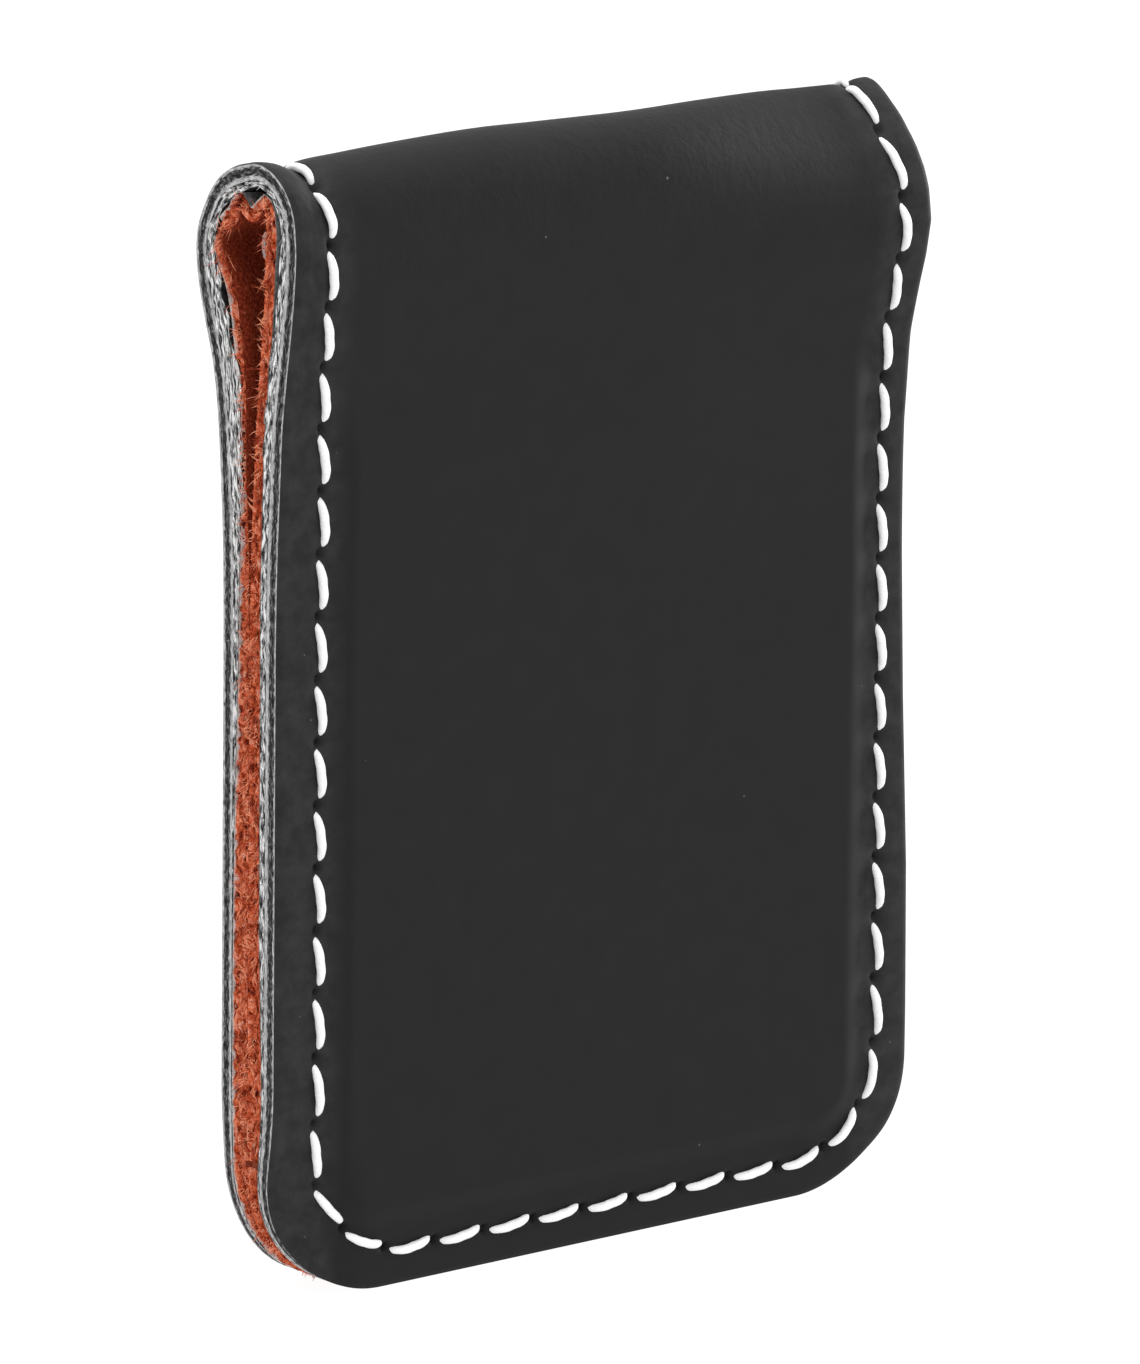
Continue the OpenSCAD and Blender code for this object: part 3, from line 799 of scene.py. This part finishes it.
def build_cover():
    sheet = Sheet()
    n = counts(1)
    seam_end = cover_len - SEAM_EDGE
    curves = [
        loop(*OUTLINE_X, 0, cover_len, CORNER_R, n),
        loop(SEAM_LEFT_X, SEAM_RIGHT_X, SEAM_EDGE, seam_end, SEAM_R, n),
        loop(SEAM_LEFT_X + SEAM_R, SEAM_RIGHT_X - SEAM_R, HEM_S, cover_len - HEM_S, 0, n),
    ]
    to_seam = [0, 0.02, 0.05, 0.1, 0.18, 0.3, 0.42, 0.55, 0.67, 0.76, 0.83, 0.89, 0.95]
    from_seam = [0, 0.12, 0.24, 0.36, 0.5, 0.7, 0.9, 1.1, 1.3, 1.5, 1.7, 1.9, 2.1, 2.3, 2.5, 2.7,
                 2.9, 3.2, 3.6, 4.2, 5.2, SEAM_R]
    stops = [to_seam, [v / SEAM_R for v in from_seam]]

    def face(x, s):
        return -cover_relief(x, s)

    top = sheet_side(sheet, outer, curves, stops, n, COLS, face, 0, False)
    rim = face(*curves[0].T)
    levels = [np.full(len(rim), d) for d in (0.2, 0.28, 0.36, 0.45, 0.55, 0.65, 0.75, 0.85)]
    under_side = plain_side(sheet, outer, curves[0], n, lambda x, s: COVER_T + 0 * x, 1, True)
    wall(sheet, outer, curves[0], top, rim, levels, under_side, 1, 0.05)
    strip_pieces(sheet, "cover", outer, [leather(), cover_cut()])


def build_backing(edge):
    sheet = Sheet()
    n = counts(2)
    outline = loop(*OUTLINE_X, 0, cover_len, CORNER_R, n)
    first = COVER_T + 0.02

    def deep(x, s):
        return first + BACKING_T - 0.04 + crumple(x, s)

    top = plain_side(sheet, outer, outline, n, lambda x, s: first + 0 * x, 1, False)
    bottom = plain_side(sheet, outer, outline, n, deep, 1, True)
    thick = deep(*outline.T) - first
    levels = [first + thick * t for t in (0.15, 0.35, 0.5, 0.65, 0.85)]
    wall(sheet, outer, outline, top, first + 0 * thick, levels, bottom, 0, 0.16)
    # the backing's faces are painted near-black as shade in the gaps, though the sheet is light grey
    materials = [edge, shaded_gap_sheet("backing_faces_painted_shade", 0.01, 0.04)]
    strip_pieces(sheet, "backing", outer, materials)


def gap_behind_lining(mark):
    """Room between the lining and the backing at each length of mark along the lining."""
    deep = outer.place(0 * outer.s, outer.s, 0 * outer.s + COVER_T + BACKING_T)[:, 1:]
    mine = inner.place(0 * mark, mark, 0 * mark)[:, 1:]
    nearest = np.min(np.linalg.norm(mine[:, None] - deep[None], axis=2), axis=1)
    return nearest - lining_half(mark)


def build_lining():
    sheet = Sheet()
    n = counts(2)
    s1 = lining_len - CORNER_R
    curves = [
        loop(*OUTLINE_X, 0, lining_len, CORNER_R, n),
        loop(OUTLINE_X[0] + CORNER_R, OUTLINE_X[1] - CORNER_R, CORNER_R, s1, 0, n),
    ]
    stops = [[v / CORNER_R for v in (0, 0.1, 0.3, 0.6, 1, 1.6, 2.4, 3.4, 5, CORNER_R)]]
    mark = inner.s[::8]
    gap = gap_behind_lining(mark)
    lining_marks = [0, BEND_Z, lining_len - BEND_Z, lining_len]
    over = np.interp(mark, lining_marks, [0, BEND_Z, cover_len - BEND_Z, cover_len])

    def sag(x, s):
        """The loose lining fills the fold at both sides, and hangs in the tunnel between them."""
        z = np.interp(s, inner.s, inner.z)
        off_split = smooth(0.6, 2.5, np.abs(z - SPLIT_Z))
        throat = np.exp(-(x / 6) ** 4) * smooth(46, 53, z) * off_split
        room = np.maximum(np.interp(s, mark, gap) - 0.05, 0)
        belly = np.exp(-((np.abs(x) - 13) / 4) ** 2) * room
        return 1.5 * throat - 0.95 * belly

    def outside(x, s):
        """The side against the backing, pushed in where the crumpled backing needs the room."""
        room = np.interp(s, mark, np.maximum(gap, 0))
        packed = crumple(x, np.interp(s, mark, over))
        pushed = np.maximum(packed - room, np.minimum(packed, 0))
        pushed = np.minimum(pushed, 2 * lining_half(s) - 0.27)
        return sag(x, s) - lining_half(s) + 0.02 + pushed

    def inside(x, s):
        """The side that shows, lifted by its nap on the flaps and bunched at the fold's ends."""
        flat = smooth(13, 19, CLIP_H - np.minimum(s, lining_len - s))
        bunched = 0.25 * (1 - flat) * smooth(20.2, 21.8, np.abs(x))
        return sag(x, s) + lining_half(s) + NAP_LIFT * flat + bunched

    top = sheet_side(sheet, inner, curves, stops, n, 10, outside, 2, False)
    bottom = sheet_side(sheet, inner, curves, stops, n, 10, inside, 0, True)
    low = outside(*curves[0].T)
    high = inside(*curves[0].T)
    levels = [low + (high - low) * t for t in (0.12, 0.25, 0.4, 0.55, 0.7, 0.85)]
    wall(sheet, inner, curves[0], top, low, levels, bottom, 1, 0.4, low)
    # the lining's back is painted darker than its grey as shade in the gaps between the layers
    materials = [suede(), suede_cut(), shaded_gap_sheet("suede_back_painted_shade", 0.1, 0.3)]
    strip_pieces(sheet, "lining", inner, materials)


# ---------------------------------------------------------------- threads and loose fibres
# where a stitch starts and how long it is, as shares of the gap between two holes
STITCH_START = 0.09
STITCH_LEN = 0.82
FIBRE_POINTS = 7


def unit(vectors):
    return vectors / np.linalg.norm(vectors, axis=1)[:, None]


def tube_faces(first, rings, sides):
    """Quads between rings of vertices from number first on, and a cap at each end."""
    faces = []
    for i in range(rings - 1):
        low = first + i * sides
        high = low + sides
        for j in range(sides):
            k = (j + 1) % sides
            faces.append([low + j, low + k, high + k, high + j])
    faces.append([first + j for j in range(sides)][::-1])
    faces.append([first + (rings - 1) * sides + j for j in range(sides)])
    return faces


def build_thread(layer, path, to_path, base, out, radius, rings, sides, slant, material):
    """Stitches from hole to hole. out is -1 where the thread lies on the outer side of its path.

    Each stitch slants across the seam, bows a little, and dives into its holes at both ends."""
    regions = {name: ([], []) for name in REGION_NAMES}
    t = np.linspace(0, 1, rings)
    across = 2 * t - 1
    swell = 1 - 0.45 * np.abs(across) ** 3
    swell[[0, -1]] *= 0.35
    height = 0.1 - 0.6 * np.abs(across) ** 5
    sideways = slant * across
    bow = 0.1 * (1 - across ** 2) - 0.05
    angle = np.arange(sides) / sides * 2 * math.pi
    lobes = 0.96 + 0.04 * np.cos(3 * (angle[None, :] - 2.2 * math.pi * t[:, None]))
    r = radius * swell[:, None] * lobes
    for hole, gap in zip(hole_at, hole_gap):
        x, s, a = seam_point(hole + gap * (STITCH_START + STITCH_LEN * t))
        middle_s = s[rings // 2]
        x = x - sideways * np.sin(a) + bow * np.abs(np.sin(a))
        s = to_path(s + (sideways - bow) * np.cos(a))
        depth = base(s) + out * height
        centre = path.place(x, s, depth)
        normal = path.place(x, s, depth + out) - centre
        tangent = unit(np.gradient(centre, axis=0))
        side = unit(np.cross(tangent, normal))
        up = np.cross(side, tangent)
        ring = centre[:, None] + side[:, None] * (r * np.cos(angle))[..., None]
        ring = ring + up[:, None] * (r * np.sin(angle))[..., None]
        co, faces = regions[REGION_NAMES[int(region_of(middle_s, outer))]]
        faces.extend(tube_faces(len(co) * rings * sides, rings, sides))
        co.append(ring.reshape(-1, 3))
    put_loose(regions, layer, layer, material, [0, 2])


def build_nap(name, path, count, reach, inset, length, radius, material):
    """Loose fibres, rooted up to inset inside a cut edge, between the depths reach(s) gives."""
    regions = {region: ([], []) for region in REGION_NAMES}
    outline = loop(*OUTLINE_X, 0, path.length, CORNER_R, counts(2))
    run = run_along(outline)
    # a root on each spot along the outline, and step along the edge there
    spot = rng.random(count) * run[-1]
    x, s = (np.interp(spot, run, outline[:, i]) for i in (0, 1))
    ahead = [np.interp(spot + 0.05, run, outline[:, i]) for i in (0, 1)]
    step = unit(np.stack([ahead[0] - x, ahead[1] - s], -1))
    low, high = reach(s)
    depth = low + (high - low) * rng.random(count)
    back = 0.08 + inset * rng.random(count) ** 1.5
    root = path.place(x - back * step[:, 1], s + back * step[:, 0], depth)
    out = unit(path.place(x + step[:, 1], s - step[:, 0], depth) - root)
    # the fibres lean together in tufts, and are short along the bottom and long in the fold
    lean = rng.normal(size=(count, 3)) * (0.6, 0.4, 0.6)
    lean[:, 2] += 0.9 * np.sin(2.1 * spot + 2 * np.sin(0.7 * spot))
    curl = rng.normal(size=(count, 3)) * 0.25
    shorter = 1 - 0.7 * np.abs(step[:, 0])
    longer = 1 + 0.4 * smooth(50, 56, root[:, 2])
    size = (length * shorter * longer * (0.4 + rng.random(count)))[:, None]
    middle = root + (out * 0.7 + lean * 0.5) * size * 0.5
    tip = middle + (out * 0.4 + lean + curl) * size * 0.5
    thick = radius * (0.6 + 0.8 * rng.random(count))
    part = region_of(s, path)
    # each fibre is a three-sided spike with one bend: 3 points at the root, 3 at the bend, a tip
    for k in range(count):
        co, faces = regions[REGION_NAMES[int(part[k])]]
        first = FIBRE_POINTS * len(co)
        way = tip[k] - root[k]
        a = np.cross(way, (0.3, 1, 0.2))
        a *= thick[k] / np.linalg.norm(a)
        c = np.cross(way, a)
        c *= thick[k] / np.linalg.norm(c)
        ring = np.array([a, -0.5 * a + 0.87 * c, -0.5 * a - 0.87 * c])
        co.append(np.vstack([root[k] + ring, middle[k] + ring * 0.8, tip[k]]))
        faces.append([first + 2, first + 1, first])
        for j in range(3):
            i = (j + 1) % 3
            faces.append([first + j, first + i, first + 3 + i, first + 3 + j])
            faces.append([first + 3 + j, first + 3 + i, first + 6])
    put_loose(regions, name, None, material, [1, 2])


def cut_reach(s):
    """Depths of the lining's cut edge that carry nap, clear of the pale line at its back."""
    half = lining_half(s)
    drop = CLIP_H - np.minimum(s, lining_len - s)
    return -half + np.interp(drop, [12, 22, 30], [0.45, 0.5, 0.35]), half + NAP_LIFT


def face_reach(s):
    half = lining_half(s)
    return half, half + NAP_LIFT


def backing_reach(s):
    return COVER_T - 0.35 + 0 * s, COVER_T + 0.35 + 0 * s


backing = backing_edge()
thread = white_thread()
fibres = suede_fibres()

build_cover()
build_backing(backing)
build_lining()
build_thread("needle_thread", outer, lambda s: s, lambda s: 0 * s, -1, 0.265, 17, 12, 0.2, thread)
build_thread("bobbin_thread", inner, under, lambda s: lining_half(s) - 0.1, 1, 0.16, 9, 6, 0.1, thread)
build_nap("edge_nap", inner, 6500, cut_reach, 0.0, 0.42, 0.026, fibres)
build_nap("face_nap", inner, 5000, face_reach, 1.0, 0.5, 0.026, fibres)
build_nap("backing_nap", outer, 900, backing_reach, 0.0, 0.22, 0.016, backing)

board = core_material("stiffener_fibreboard", (0.35, 0.27, 0.18), 0, 0.9)
magnet = core_material("nickel_plate", (0.7, 0.7, 0.68), 1, 0.3)
for node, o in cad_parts.items():
    if not o.hide_render:
        for material_slot in o.material_slots:
            material_slot.material = board if node.endswith("board") else magnet

# ---------------------------------------------------------------- stage, light and camera, in metres
bpy.ops.mesh.primitive_plane_add(size=6, location=(0, 0, 0))
floor = bpy.context.object
floor.name = "floor"
floor_paint = Nodes("pale_floor")
floor_paint.set(floor_paint.shader, "Emission Color", (1, 1, 1, 1))
floor_paint.set(floor_paint.shader, "Emission Strength", 0.95)
floor.data.materials.append(floor_paint.finish((0.12, 0.12, 0.12, 1), 1.0, 0.0))

scene = bpy.context.scene
scene.view_settings.view_transform = "Standard"
scene.world = bpy.data.worlds.new("studio")
scene.world.use_nodes = True
sky = scene.world.node_tree.nodes["Background"]
sky.inputs["Color"].default_value = (1, 1, 1, 1)
sky.inputs["Strength"].default_value = 1.0


def stand(o, place, right, up, back):
    """Links o and puts it at place, in metres, with the given axes."""
    rows = [[right[i], up[i], back[i], place[i]] for i in range(3)]
    o.matrix_world = Matrix(rows + [[0, 0, 0, 1]])
    scene.collection.objects.link(o)


def softbox(name, place, aim, size, power):
    light = bpy.data.lights.new(name, "AREA")
    light.size = size
    light.energy = power
    back = np.array(place) - np.array(aim)
    back /= np.linalg.norm(back)
    side = np.cross((0, 1, 0.01), back)
    side /= np.linalg.norm(side)
    stand(bpy.data.objects.new(name, light), place, side, np.cross(back, side), back)


softbox("top_light", (0, 0.05, 0.7), (0, 0, 0.05), 0.6, 3)
softbox("right_light", (0.6, 0.02, 0.08), (0, 0, 0.03), 0.3, 3)

AZIMUTH, ELEVATION, ROLL = (math.radians(v) for v in (-39.259, 13.958, 0.618))
CAMERA_AT = (-0.4573, -0.56001, 0.21092)
back = np.array([
    math.sin(AZIMUTH) * math.cos(ELEVATION),
    -math.cos(AZIMUTH) * math.cos(ELEVATION),
    math.sin(ELEVATION),
])
level = np.cross((0, 0, 1), back)
level /= np.linalg.norm(level)
above = np.cross(back, level)
right = math.cos(ROLL) * level + math.sin(ROLL) * above
up = -math.sin(ROLL) * level + math.cos(ROLL) * above
camera = bpy.data.objects.new("camera", bpy.data.cameras.new("camera"))
camera.data.lens = 359.14
camera.data.sensor_width = 36
camera.data.clip_start = 0.01
stand(camera, CAMERA_AT, right, up, back)
scene.camera = camera
